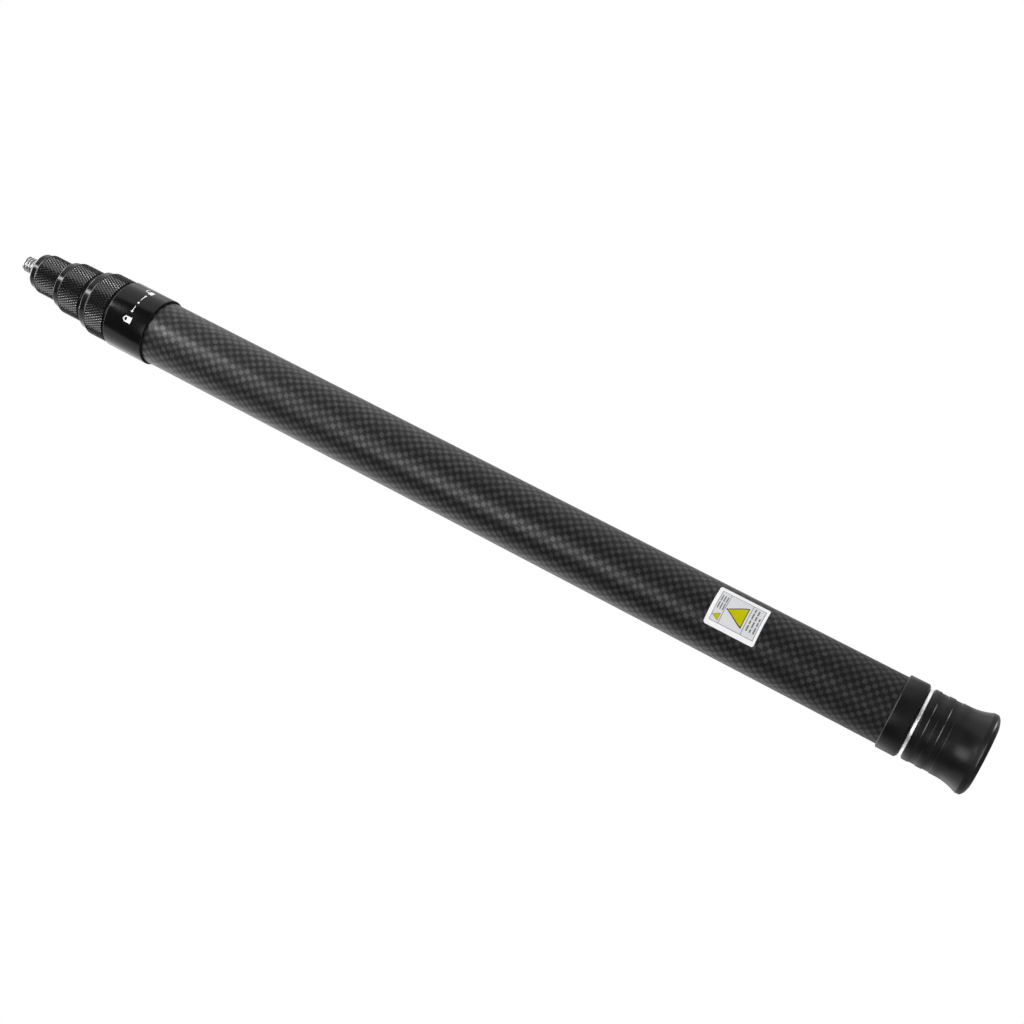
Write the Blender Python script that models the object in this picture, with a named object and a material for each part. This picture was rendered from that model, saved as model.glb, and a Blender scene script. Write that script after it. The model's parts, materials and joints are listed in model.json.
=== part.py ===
"""Telescoping carbon-fibre prism pole with twist locks, collapsed and standing upright on its foot.

Sizes are in millimetres and become Blender's metres through MM. Heights run up the pole's axis from the
foot pad's face, which is the origin, and +Z points to the mounting stud. Each extending section is a tube
with a grip collar on its front end and a cone lock on its rear end. The cone sits in a split expander that
grips the bore of the next larger tube.
"""

import math
from collections import namedtuple

import bmesh
import bpy

MM = 0.001

# Driving dimensions
MAIN_TUBE_RADIUS = 12.5
TUBE_STEP = (2.2, 2.0, 2.0)  # from one tube's outer radius to the next one's
SLIDE_ROOM = 1.0  # between a tube and the bore around it, filled by a guide bush at the front
PIECE_GAP = 0.3  # between pieces that touch
OUTER_SIDES = 32
INNER_SIDES = 24

# Heights of the outside pieces
CAP_BOTTOM = 0.3
CAP_TOP = 23.5
RING_TOP = 24.9
BUTT_FERRULE_TOP = 32.7
INDEX_FERRULE_BOTTOM = 339.2
INDEX_FERRULE_TOP = 357.4
STUD_TOP = 406.7

# Ferrules
BUTT_FERRULE_RADIUS = 13.5
INDEX_FERRULE_RADIUS = 13.35
FERRULE_LIP = 1.2  # thickness of the lip that closes over the tube's end
FERRULE_LIP_BORE = 10.65
FERRULE_CHAMFER = 0.6

# Foot end
FLARE_TOP = 11.3
FLARE_BOTTOM = 3.4
FLARE_CURVE = 19.0
CAP_RADIUS = 12.98
CAP_CHAMFER = 0.7
CAP_CHAMFER_HEIGHT = 1.0
CAP_GROOVES = ((21.0, 18.1), (16.1, 13.5))  # upper and lower edge of each grip groove
CAP_GROOVE_DEPTH = 0.2
CAP_GROOVE_SLOPE = 0.3
CAP_RIM_RADIUS = 14.73
CAP_RIM_TOP = 2.6
CAP_RIM_BOTTOM = 1.5
CAP_BORE = 9.7
CAP_FLOOR = 6.0
PAD_RADIUS = 11.8
PAD_HEIGHT = 2.0
RING_RADIUS = 12.4
STUB_RADIUS = 9.0
STUB_BOTTOM = 9.0
STUB_CHAMFER = 1.0
O_RING_HEIGHT = 20.5
O_RING_RADIUS = 8.9
O_RING_THICKNESS = 1.0
PLUG_TOP = 40.0
PLUG_BORE = 4.0
BUMPER_RADIUS = 8.0
BUMPER_TOP = 43.0

# Locks, measured down from the lower end of the tube that carries them
FIRST_TUBE_BOTTOM = 62.0
NEST_STEP = 35.0  # from one tube's lower end to the next one's
SPINDLE_INSERT = 14.0
FLANGE_THICKNESS = 1.5
CONE_TOP = 4.0
CONE_BOTTOM = 16.3
CONE_DRAFT = 2.0  # loss of radius over the cone
SCREW_HEAD_HEIGHT = 2.0
SCREW_HEAD_EDGE = 0.4
SCREW_SHANK_LENGTH = 10.0
EXPANDER_WALL_ROOM = 0.3  # between the expander and the bore it grips
EXPANDER_SLIT = 1.6
BUSH_LENGTH = 17.0

# Stud
STUD_RADIUS = 3.175  # 1/4 inch
STUD_BOTTOM = 388.0
STUD_CHAMFER = 0.7
STUD_HOLE = 3.5
STUD_PLUG_BOTTOM = 385.0

# Label, on the main tube
LABEL_BOTTOM = 82.1
LABEL_TOP = 101.0
LABEL_START = -13.5  # degrees round the tube from -Y towards +X
LABEL_END = 60.0
LABEL_THICKNESS = 0.15
LABEL_FACETS = 16

# Grip collars, by section: heights from the rear to the front, then radii
COLLAR_WALL = 4.1  # thickness of the front wall
Collar = namedtuple("Collar", "base knurl_bottom knurl_top front neck_radius knurl_radius lip_radius")
COLLARS = {
    2: Collar(357.7, 358.6, 367.9, 370.4, 12.2, 12.95, 12.05),
    3: Collar(370.7, 372.7, 382.7, 385.4, 9.9, 10.53, 9.6),
    4: Collar(385.7, 386.5, 396.5, 399.0, 7.5, 8.07, 7.3),
}

Finish = namedtuple("Finish", "colour roughness metallic")
FINISHES = {
    "carbon": Finish((0.035, 0.036, 0.038), 0.35, 0.0),
    "black_anodised": Finish((0.022, 0.022, 0.024), 0.38, 1.0),
    "polished_metal": Finish((0.86, 0.86, 0.87), 0.12, 1.0),
    "plain_metal": Finish((0.60, 0.61, 0.63), 0.3, 1.0),
    "pale_nylon": Finish((0.72, 0.70, 0.64), 0.5, 0.0),
    "rubber": Finish((0.02, 0.02, 0.02), 0.8, 0.0),
    "sticker": Finish((0.82, 0.82, 0.80), 0.45, 0.0),
}


def outer_radius(section):
    """Outer radius of a section's tube, section 1 being the main tube."""
    return MAIN_TUBE_RADIUS - sum(TUBE_STEP[: section - 1])


def inner_radius(section):
    """Bore radius of a section's tube."""
    if section == 4:
        return outer_radius(4) - SLIDE_ROOM
    return outer_radius(section + 1) + SLIDE_ROOM


def tube_bottom(section):
    """Height of an extending tube's lower end."""
    return FIRST_TUBE_BOTTOM + NEST_STEP * (section - 2)


def tube_top(section):
    """Height of a tube's front end, under the lip of its ferrule or collar."""
    if section == 1:
        return INDEX_FERRULE_TOP - FERRULE_LIP - PIECE_GAP
    return COLLARS[section].front - COLLAR_WALL - PIECE_GAP


def clear_scene():
    for old in list(bpy.data.objects):
        bpy.data.objects.remove(old, do_unlink=True)


def finish_material(node, finish_name):
    finish = FINISHES[finish_name]
    material = bpy.data.materials.new(f"{node}_{finish_name}")
    material.use_nodes = True
    shader = material.node_tree.nodes["Principled BSDF"]
    shader.inputs["Base Color"].default_value = (*finish.colour, 1.0)
    shader.inputs["Roughness"].default_value = finish.roughness
    shader.inputs["Metallic"].default_value = finish.metallic
    return material


def finished_object(name, shape, finish_name):
    """Links the finished bmesh as one smooth-shaded object with its own material."""
    bmesh.ops.recalc_face_normals(shape, faces=shape.faces)
    mesh = bpy.data.meshes.new(name)
    shape.to_mesh(mesh)
    shape.free()
    mesh.shade_smooth()
    mesh.set_sharp_from_angle(angle=math.radians(30))
    mesh.materials.append(finish_material(name, finish_name))
    obj = bpy.data.objects.new(name, mesh)
    bpy.context.collection.objects.link(obj)
    return obj


def turned(name, outline, finish_name, sides=OUTER_SIDES):
    """A piece turned about the pole's axis from its outline of (radius, height) points.

    An outline that starts and ends on the axis makes a solid piece, and any other is closed into a ring.
    """
    shape = bmesh.new()
    points = [shape.verts.new((radius * MM, 0, height * MM)) for radius, height in outline]
    pairs = list(zip(points, points[1:]))
    if outline[0][0] > 0:
        pairs.append((points[-1], points[0]))
    edges = [shape.edges.new(pair) for pair in pairs]
    bmesh.ops.spin(
        shape,
        geom=points + edges,
        cent=(0, 0, 0),
        axis=(0, 0, 1),
        angle=math.tau,
        steps=sides,
        use_merge=True,
    )
    bmesh.ops.remove_doubles(shape, verts=shape.verts, dist=1e-6)
    return finished_object(name, shape, finish_name)


def hold_on(piece, pivot):
    """Parents a moving piece to the empty on its joint's axis."""
    piece.parent = pivot


def pivot_empty(name, carrier=None):
    """An empty on the pole's axis, which every joint turns about or slides along."""
    pivot = bpy.data.objects.new(name, None)
    bpy.context.collection.objects.link(pivot)
    pivot.parent = carrier
    return pivot


# Main section


def make_main_tube():
    bottom = RING_TOP + FERRULE_LIP + PIECE_GAP
    bore = inner_radius(1)
    turned(
        "main_tube",
        [
            (MAIN_TUBE_RADIUS, tube_top(1)),
            (MAIN_TUBE_RADIUS, bottom),
            (bore, bottom),
            (bore, tube_top(1)),
        ],
        "carbon",
    )


def ferrule_outline(radius, lip_height, open_height, lip_bore):
    """A sleeve over the tube's end, with an inward lip at lip_height and its open end at open_height."""
    way = math.copysign(1.0, open_height - lip_height)
    sleeve_bore = MAIN_TUBE_RADIUS + PIECE_GAP
    lip_inside = lip_height + way * FERRULE_LIP
    return [
        (radius - FERRULE_CHAMFER, lip_height),
        (radius, lip_height + way * FERRULE_CHAMFER),
        (radius, open_height - way * 0.3),
        (radius - 0.3, open_height),
        (sleeve_bore, open_height),
        (sleeve_bore, lip_inside),
        (lip_bore, lip_inside),
        (lip_bore, lip_height),
    ]


def make_ferrules():
    turned(
        "butt_ferrule",
        ferrule_outline(BUTT_FERRULE_RADIUS, RING_TOP, BUTT_FERRULE_TOP, inner_radius(1)),
        "black_anodised",
    )
    turned(
        "index_ferrule",
        ferrule_outline(INDEX_FERRULE_RADIUS, INDEX_FERRULE_TOP, INDEX_FERRULE_BOTTOM, FERRULE_LIP_BORE),
        "black_anodised",
    )


def make_label():
    """A thin curved plate that follows the main tube."""
    shape = bmesh.new()
    inside = MAIN_TUBE_RADIUS + PIECE_GAP
    outside = inside + LABEL_THICKNESS
    rims = []
    for step in range(LABEL_FACETS + 1):
        turn = math.radians(LABEL_START + (LABEL_END - LABEL_START) * step / LABEL_FACETS - 90)
        across = (math.cos(turn), math.sin(turn))
        rim = [
            shape.verts.new((across[0] * radius * MM, across[1] * radius * MM, height * MM))
            for radius, height in (
                (inside, LABEL_BOTTOM),
                (outside, LABEL_BOTTOM),
                (outside, LABEL_TOP),
                (inside, LABEL_TOP),
            )
        ]
        rims.append(rim)
    for near, far in zip(rims, rims[1:]):
        for corner in range(4):
            after = (corner + 1) % 4
            shape.faces.new((near[corner], near[after], far[after], far[corner]))
    shape.faces.new(rims[0])
    shape.faces.new(rims[-1])
    finished_object("label", shape, "sticker")


def make_butt_plug():
    """Bonded in the tube's lower end, with a stub for the cap, an O-ring groove and a bore."""
    body = inner_radius(1) - PIECE_GAP
    groove_floor = O_RING_RADIUS - O_RING_THICKNESS / 2 - 0.25
    groove_half = O_RING_THICKNESS / 2 + 0.3
    turned(
        "butt_plug",
        [
            (body, PLUG_TOP),
            (body, RING_TOP + 0.4),
            (STUB_RADIUS, RING_TOP + 0.4),
            (STUB_RADIUS, O_RING_HEIGHT + groove_half),
            (groove_floor, O_RING_HEIGHT + groove_half),
            (groove_floor, O_RING_HEIGHT - groove_half),
            (STUB_RADIUS, O_RING_HEIGHT - groove_half),
            (STUB_RADIUS, STUB_BOTTOM + STUB_CHAMFER),
            (STUB_RADIUS - STUB_CHAMFER, STUB_BOTTOM),
            (PLUG_BORE, STUB_BOTTOM),
            (PLUG_BORE, PLUG_TOP),
        ],
        "plain_metal",
        INNER_SIDES,
    )


def make_o_ring():
    sides = 8
    outline = []
    for step in range(sides):
        turn = -math.tau * step / sides
        outline.append(
            (
                O_RING_RADIUS + O_RING_THICKNESS / 2 * math.cos(turn),
                O_RING_HEIGHT + O_RING_THICKNESS / 2 * math.sin(turn),
            )
        )
    turned("cap_o_ring", outline, "rubber", INNER_SIDES)


def make_bumper():
    """Soft stop that the innermost end of the collapsed sections lands on."""
    bottom = PLUG_TOP + PIECE_GAP
    turned(
        "bumper_pad",
        [(0, BUMPER_TOP), (BUMPER_RADIUS, BUMPER_TOP), (BUMPER_RADIUS, bottom), (0, bottom)],
        "rubber",
        INNER_SIDES,
    )


# Foot end


def flare_radius(height):
    """Radius of the end cap's flare, an arc that leaves the straight side at FLARE_TOP."""
    drop = FLARE_TOP - height
    return CAP_RADIUS + FLARE_CURVE - math.sqrt(FLARE_CURVE**2 - drop**2)


def make_end_cap(pivot):
    groove_floor = CAP_RADIUS - CAP_GROOVE_DEPTH
    pad_recess = PAD_HEIGHT + PIECE_GAP
    outline = [
        (0, CAP_FLOOR),
        (CAP_BORE, CAP_FLOOR),
        (CAP_BORE, CAP_TOP),
        (CAP_RADIUS - CAP_CHAMFER, CAP_TOP),
        (CAP_RADIUS, CAP_TOP - CAP_CHAMFER_HEIGHT),
    ]
    for high, low in CAP_GROOVES:
        outline += [
            (CAP_RADIUS, high),
            (groove_floor, high - CAP_GROOVE_SLOPE),
            (groove_floor, low + CAP_GROOVE_SLOPE),
            (CAP_RADIUS, low),
        ]
    flare_steps = 4
    for step in range(flare_steps + 1):
        height = FLARE_TOP + (FLARE_BOTTOM - FLARE_TOP) * step / flare_steps
        outline.append((flare_radius(height), height))
    outline += [
        (CAP_RIM_RADIUS, CAP_RIM_TOP),
        (CAP_RIM_RADIUS, CAP_RIM_BOTTOM),
        (CAP_RIM_RADIUS - 0.4, 0.7),
        (CAP_RIM_RADIUS - 1.2, CAP_BOTTOM),
        (PAD_RADIUS + PIECE_GAP, CAP_BOTTOM),
        (PAD_RADIUS + PIECE_GAP, pad_recess),
        (0, pad_recess),
    ]
    hold_on(turned("end_cap", outline, "black_anodised"), pivot)


def make_foot_pad(pivot):
    top = PAD_HEIGHT
    outline = [(0, top), (PAD_RADIUS, top), (PAD_RADIUS, 0.3), (PAD_RADIUS - 0.3, 0), (0, 0)]
    hold_on(turned("foot_pad", outline, "rubber"), pivot)


def make_trim_ring(pivot):
    bore = CAP_BORE
    bottom = CAP_TOP + PIECE_GAP
    top = RING_TOP - PIECE_GAP
    edge = 0.15
    outline = [
        (RING_RADIUS - edge, top),
        (RING_RADIUS, top - edge),
        (RING_RADIUS, bottom + edge),
        (RING_RADIUS - edge, bottom),
        (bore, bottom),
        (bore, top),
    ]
    hold_on(turned("trim_ring", outline, "polished_metal"), pivot)


# Extending sections


def make_guide_bush(section, pivot=None):
    """Plain bearing inside a tube's front end, which the next tube slides through."""
    room = (SLIDE_ROOM - 0.5) / 2
    outside = inner_radius(section) - room
    bore = outer_radius(section + 1) + room
    top = tube_top(section)
    bush = turned(
        f"guide_bush_{section}",
        [(outside, top), (outside, top - BUSH_LENGTH), (bore, top - BUSH_LENGTH), (bore, top)],
        "pale_nylon",
    )
    hold_on(bush, pivot)


def make_tube(section, pivot):
    outside = outer_radius(section)
    bore = inner_radius(section)
    top = tube_top(section)
    bottom = tube_bottom(section)
    outline = [(outside, top), (outside, bottom), (bore, bottom), (bore, top)]
    hold_on(turned(f"tube_{section}", outline, "carbon"), pivot)


def collar_front_bore(section):
    """Hole in a collar's front wall, for the next tube or for the stud."""
    if section == 4:
        return STUD_HOLE
    return outer_radius(section + 1) + PIECE_GAP + 0.05


def make_collar(section, pivot):
    """Turned grip collar that closes over the tube's front end with its front wall."""
    sizes = COLLARS[section]
    tube_bore = outer_radius(section) + PIECE_GAP
    front_bore = collar_front_bore(section)
    wall = tube_top(section) + PIECE_GAP
    edge = 0.4
    rounding = 0.8
    outline = [
        (front_bore, sizes.front),
        (sizes.lip_radius - rounding, sizes.front),
        (sizes.lip_radius - 0.2, sizes.front - 0.3),
        (sizes.lip_radius, sizes.front - rounding),
        (sizes.lip_radius, sizes.knurl_top + edge + 0.3),
        (sizes.knurl_radius, sizes.knurl_top),
        (sizes.knurl_radius, sizes.knurl_bottom + edge),
        (sizes.neck_radius, sizes.knurl_bottom),
        (sizes.neck_radius, sizes.base),
        (tube_bore, sizes.base),
        (tube_bore, wall),
        (front_bore, wall),
    ]
    hold_on(turned(f"collar_{section}", outline, "black_anodised"), pivot)


def cone_radius(section, depth):
    """Radius of a lock spindle's cone at a depth below its tube's lower end."""
    widest = inner_radius(section) - 0.7
    return widest - CONE_DRAFT * (depth - CONE_TOP) / (CONE_BOTTOM - CONE_TOP)


def screw_radius(section):
    """Shank radius of the screw that keeps the expander on its cone."""
    return inner_radius(section) * 0.22


def make_lock_spindle(section, pivot):
    """Bonded in a tube's lower end: insert, flange, neck and cone, with a blind hole for its screw."""
    end = tube_bottom(section)
    insert = inner_radius(section) - PIECE_GAP
    flange = outer_radius(section) + 0.2
    neck = cone_radius(section, CONE_TOP) - 0.6
    hole = screw_radius(section) + PIECE_GAP
    hole_top = end - CONE_BOTTOM + SCREW_SHANK_LENGTH + PIECE_GAP
    spindle = turned(
        f"lock_spindle_{section}",
        [
            (0, end + SPINDLE_INSERT),
            (insert, end + SPINDLE_INSERT),
            (insert, end - PIECE_GAP),
            (flange, end - PIECE_GAP),
            (flange, end - PIECE_GAP - FLANGE_THICKNESS),
            (neck, end - PIECE_GAP - FLANGE_THICKNESS),
            (neck, end - CONE_TOP),
            (cone_radius(section, CONE_TOP), end - CONE_TOP),
            (cone_radius(section, CONE_BOTTOM), end - CONE_BOTTOM),
            (hole, end - CONE_BOTTOM),
            (hole, hole_top),
            (0, hole_top),
        ],
        "plain_metal",
        INNER_SIDES,
    )
    hold_on(spindle, pivot)


def make_spindle_screw(section, pivot):
    """Wide-headed screw up into the spindle, which keeps the expander on its cone."""
    head_top = tube_bottom(section) - CONE_BOTTOM - PIECE_GAP
    head = cone_radius(section, CONE_BOTTOM) + 0.6
    shank = screw_radius(section)
    shank_top = head_top + SCREW_SHANK_LENGTH
    head_bottom = head_top - SCREW_HEAD_HEIGHT
    outline = [
        (0, shank_top),
        (shank, shank_top),
        (shank, head_top),
        (head, head_top),
        (head, head_bottom + SCREW_HEAD_EDGE),
        (head - SCREW_HEAD_EDGE, head_bottom),
        (0, head_bottom),
    ]
    hold_on(turned(f"spindle_screw_{section}", outline, "plain_metal", INNER_SIDES), pivot)


def slit_cutter(section, low, high):
    """Box that opens one side of an expander."""
    reach = 2 * outer_radius(section)
    shape = bmesh.new()
    bmesh.ops.create_cube(shape, size=1.0)
    bmesh.ops.scale(shape, verts=shape.verts, vec=(reach * MM, EXPANDER_SLIT * MM, (high - low + 4) * MM))
    bmesh.ops.translate(shape, verts=shape.verts, vec=(reach / 2 * MM, 0, (low + high) / 2 * MM))
    cutter = finished_object(f"slit_cutter_{section}", shape, "pale_nylon")
    cutter.hide_render = True
    cutter.display_type = "WIRE"
    return cutter


def make_lock_expander(section, pivot):
    """Split sleeve on the cone. Turning the tube drives the cone and presses the sleeve on the bore."""
    end = tube_bottom(section)
    high = end - CONE_TOP - PIECE_GAP
    low = end - CONE_BOTTOM + PIECE_GAP
    outside = inner_radius(section - 1) - EXPANDER_WALL_ROOM
    bore_room = PIECE_GAP
    relief = 0.35
    middle = (high + low) / 2
    expander = turned(
        f"lock_expander_{section}",
        [
            (outside, high),
            (outside, middle + 0.8),
            (outside - relief, middle + 0.5),
            (outside - relief, middle - 0.5),
            (outside, middle - 0.8),
            (outside, low),
            (cone_radius(section, end - low) + bore_room, low),
            (cone_radius(section, end - high) + bore_room, high),
        ],
        "pale_nylon",
        INNER_SIDES,
    )
    slit = expander.modifiers.new("Slit", "BOOLEAN")
    slit.operation = "DIFFERENCE"
    slit.solver = "EXACT"
    slit.object = slit_cutter(section, low, high)
    hold_on(expander, pivot)


def make_section(section, carrier):
    """One extending section: the expander rides the slide, and the rest turns on it."""
    slide = pivot_empty(f"slide_{section}", carrier)
    twist = pivot_empty(f"twist_{section}", slide)
    make_lock_expander(section, slide)
    make_tube(section, twist)
    make_collar(section, twist)
    make_lock_spindle(section, twist)
    make_spindle_screw(section, twist)
    if section < 4:
        make_guide_bush(section, twist)
    return twist


# Mounting end


def make_stud_plug(pivot):
    """Threaded anchor for the stud, bonded in the smallest tube's front end."""
    outside = inner_radius(4) - PIECE_GAP
    top = tube_top(4)
    outline = [
        (outside, top),
        (outside, STUD_PLUG_BOTTOM),
        (STUD_HOLE, STUD_PLUG_BOTTOM),
        (STUD_HOLE, top),
    ]
    hold_on(turned("stud_plug", outline, "plain_metal", INNER_SIDES), pivot)


def make_stud(pivot):
    outline = [
        (0, STUD_TOP),
        (STUD_RADIUS - STUD_CHAMFER, STUD_TOP),
        (STUD_RADIUS, STUD_TOP - STUD_CHAMFER),
        (STUD_RADIUS, STUD_BOTTOM),
        (0, STUD_BOTTOM),
    ]
    hold_on(turned("mounting_stud", outline, "polished_metal", INNER_SIDES), pivot)


def main():
    clear_scene()
    make_main_tube()
    make_ferrules()
    make_label()
    make_butt_plug()
    make_o_ring()
    make_bumper()
    make_guide_bush(1)
    ring_pivot = pivot_empty("cap_slide")
    cap_pivot = pivot_empty("cap_twist", ring_pivot)
    make_trim_ring(ring_pivot)
    make_end_cap(cap_pivot)
    make_foot_pad(cap_pivot)
    carrier = None
    for section in COLLARS:
        carrier = make_section(section, carrier)
    make_stud_plug(carrier)
    make_stud(carrier)


main()
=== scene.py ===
import json
import math

import bpy
from mathutils import Matrix, Vector


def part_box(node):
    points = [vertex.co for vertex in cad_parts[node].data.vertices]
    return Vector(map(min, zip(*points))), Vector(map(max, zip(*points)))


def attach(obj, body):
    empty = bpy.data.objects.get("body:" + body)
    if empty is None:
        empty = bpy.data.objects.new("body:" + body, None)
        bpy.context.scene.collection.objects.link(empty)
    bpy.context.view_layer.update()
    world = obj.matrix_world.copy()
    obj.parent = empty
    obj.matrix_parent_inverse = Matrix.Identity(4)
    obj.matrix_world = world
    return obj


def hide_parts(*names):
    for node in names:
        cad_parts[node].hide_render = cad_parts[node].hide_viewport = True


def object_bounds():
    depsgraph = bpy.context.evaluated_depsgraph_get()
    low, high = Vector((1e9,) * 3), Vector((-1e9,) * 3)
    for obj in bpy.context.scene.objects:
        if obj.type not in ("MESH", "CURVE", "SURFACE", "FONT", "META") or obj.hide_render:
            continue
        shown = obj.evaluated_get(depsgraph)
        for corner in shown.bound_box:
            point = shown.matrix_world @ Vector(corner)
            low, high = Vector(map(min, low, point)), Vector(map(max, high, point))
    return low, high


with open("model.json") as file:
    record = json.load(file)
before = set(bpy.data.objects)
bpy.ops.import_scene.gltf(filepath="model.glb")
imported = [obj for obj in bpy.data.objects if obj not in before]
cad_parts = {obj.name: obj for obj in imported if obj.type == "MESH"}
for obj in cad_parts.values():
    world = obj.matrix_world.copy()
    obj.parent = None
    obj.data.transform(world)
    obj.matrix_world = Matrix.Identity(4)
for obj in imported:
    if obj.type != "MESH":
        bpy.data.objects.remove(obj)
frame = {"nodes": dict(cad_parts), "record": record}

cad_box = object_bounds()

# Looks of the telescoping prism pole. Sizes are in millimetres and become Blender's metres through MM.
# Heights run up the pole's axis. A bearing is in degrees round the pole from -Y, the front, towards +X.
MM = 0.001
FULL_TURN = 360.0
ROUND_SIDES = 160
FILLET_REACH = 0.49  # the most of an edge that the fillet at one of its ends takes

# Camera: level with the pole's lower end, looking up at it, and rolled so that it lies across the frame
LENS_MM = 55.9
CAMERA_DISTANCE = 572.1
CAMERA_PITCH = 15.5
CAMERA_ROLL = 27.30
CAMERA_SHIFT = 0.6
AIM_HEIGHT = 181.75

# Panels that face the middle of the pole: bearing and elevation, distance, width and height in metres, and
# luminance
PANEL_LIGHTS = {
    "front_softbox": (11, 57, 1.3, 0.22, 0.62, 22),
    "low_softbox": (-18, 15.5, 1.2, 0.60, 0.52, 5.0),
    "front_fill": (18, 2, 1.4, 1.9, 0.5, 0.25),
    "side_panel": (86, 26, 1.2, 1.7, 1.6, 1.0),
    "far_panel": (-114, 26, 1.1, 1.5, 1.6, 0.85),
    "top_panel": (0, 88, 1.3, 1.1, 1.1, 7),
}

# Small panels by the foot, for the end cap alone: bearing, distance from the axis, width, depth and luminance
FLOOR_LIGHTS = {"front_glint": (2, 27, 21, 14, 12), "side_glint": (75, 27, 16, 14, 10)}
FLOOR_LIGHT_HEIGHT = -7.0
FLOOR_DROP = 8.0  # below the foot, because the end cap moves down as it unscrews

# Carbon cloth: whole cells round each tube, and an even number with the climb, so that the pattern closes
CELLS_AROUND = {"main_tube": 44, "tube_2": 36, "tube_3": 30, "tube_4": 22}
CLIMB_CELLS = 2
CELLS_PER_MM = 0.5885  # up the tube from its foot
CELL_STRETCH = 0.000172  # the cells lengthen towards the stud
DRIFT = 0.195  # sideways drift of the lengthwise tows, at its strongest
DRIFT_CENTRE = 220.0
DRIFT_SPREAD = 160.0
DRIFT_LOSS = 0.158  # less drift at DRIFT_SPREAD from the centre
TOW_WAVER = 0.32  # of a cell, at the very most: the tows are laid a little unevenly
TOW_WAVER_SCALE = 300.0  # waves in a metre
TOW_CROWN = 0.24  # power of the swell across a tow: a lower one is flatter on top
CELL_CONTRAST = 0.28  # how much lighter or darker a single cell can be
FIBRES_IN_TOW = 12
# Cloth colours: dark for the hoop tows and the cell edges, partly painted shade there, and a lighter painted
# sheen for the crowns of the lengthwise tows on top
CLOTH_DARK = (0.0036, 0.0036, 0.0038)
CLOTH_PAINTED_SHEEN = (0.0166, 0.0166, 0.0173)
CLOTH_MIDDLE = (0.01, 0.01, 0.01)  # for a viewer that shows no pattern

# Tube walls
MAIN_WALL = 1.2
INNER_WALL = 1.0

# Label on the main tube
LABEL_BEARINGS = (-13.5, 60.0)
LABEL_SKEW = 0.034  # up towards +X, as it was stuck on by hand
LABEL_RAISE = 0.3  # above the middle of the CAD label
LABEL_LIFT = 0.03
LABEL_FILM = 0.07
LABEL_CORNER = 0.9
LABEL_LINE = 0.2
INK_LAYER = 0.006  # from one printed layer to the next
TRIANGLE_RIM = 0.06  # of a triangle's width, for its dark rim and for its rounding

# Lock marks round the front ferrule, by bearing, and how far they are below its top
MARKS_BELOW_TOP = 10.0
CLOSED_PADLOCK = -5.8
OPEN_PADLOCK = 60.0
LOCK_DOTS = (9.6, 27.7, 46.0)
LOCK_LINES = ((11.0, 20.5), (33.5, 45.0))
MARK_LIFT = 0.012

# Grip collars, by section: bore of the front face, radius of the neck, where the knurl starts above the base
# and stops below the front, and the lip's length and radius
COLLARS = {
    2: (8.65, 12.2, 0.9, 3.8, 2.85, 12.05),
    3: (6.65, 9.9, 2.0, 3.6, 2.7, 9.6),
    4: (3.5, 7.5, 0.8, 3.5, 2.6, 7.3),
}
KNURL_PITCH = 1.155  # round the collar
KNURL_ROW = 1.0  # half the height of a diamond
KNURL_DEPTH = 0.28
KNURL_CREST = 0.28  # share of a diamond left flat on top

# Threads: the stud's is the 1/4 inch coarse one
STUD_PITCH = 1.27
STUD_THREAD_DEPTH = 0.62
CAP_PITCH = 1.5
CAP_THREAD_DEPTH = 0.8
THREAD_CREST = 0.12  # share of the pitch that is flat on top
THREAD_FLANK = 0.72  # share of the pitch that slopes


def span(node):
    """(bottom, top, outer radius) of a CAD node in millimetres."""
    low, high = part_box(node)
    return low.z / MM, high.z / MM, high.x / MM


# Meshes


def make_object(name, points, faces, finish, smooth_angle=35):
    """A mesh object from points in millimetres."""
    mesh = bpy.data.meshes.new(name)
    mesh.from_pydata([(x * MM, y * MM, z * MM) for x, y, z in points], [], faces)
    mesh.validate()
    mesh.shade_smooth()
    mesh.set_sharp_from_angle(angle=math.radians(smooth_angle))
    mesh.materials.append(finish)
    piece = bpy.data.objects.new(name, mesh)
    bpy.context.scene.collection.objects.link(piece)
    return piece


def place(piece, body, slot, *nodes):
    """Rides a finished piece on its body and hides the CAD nodes it stands for."""
    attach(piece, body)
    if nodes:
        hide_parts(*nodes)
    return piece


def on_pole(bearing, radius, height):
    """The point at a bearing, radius and height."""
    turn = math.radians(bearing)
    return (radius * math.sin(turn), -radius * math.cos(turn), height)


def rounded(corners, steps=4):
    """An outline of (radius, height) points from corners of (radius, height, fillet)."""
    outline = []
    count = len(corners)
    for index, (radius, height, fillet) in enumerate(corners):
        here = Vector((radius, height))
        if fillet <= 0:
            outline.append((radius, height))
            continue
        before = Vector(corners[index - 1][:2])
        after = Vector(corners[(index + 1) % count][:2])
        way_in = (before - here).normalized()
        way_out = (after - here).normalized()
        half = way_in.angle(way_out) / 2
        shorter_edge = min((before - here).length, (after - here).length)
        reach = min(fillet / math.tan(half), shorter_edge * FILLET_REACH)
        arc = reach * math.tan(half)
        centre = here + (way_in + way_out).normalized() * arc / math.sin(half)
        start = here + way_in * reach - centre
        end = here + way_out * reach - centre
        sweep = start.angle_signed(end)
        for step in range(steps + 1):
            point = centre + Matrix.Rotation(-sweep * step / steps, 2) @ start
            outline.append((point.x, point.y))
    return outline


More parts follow.
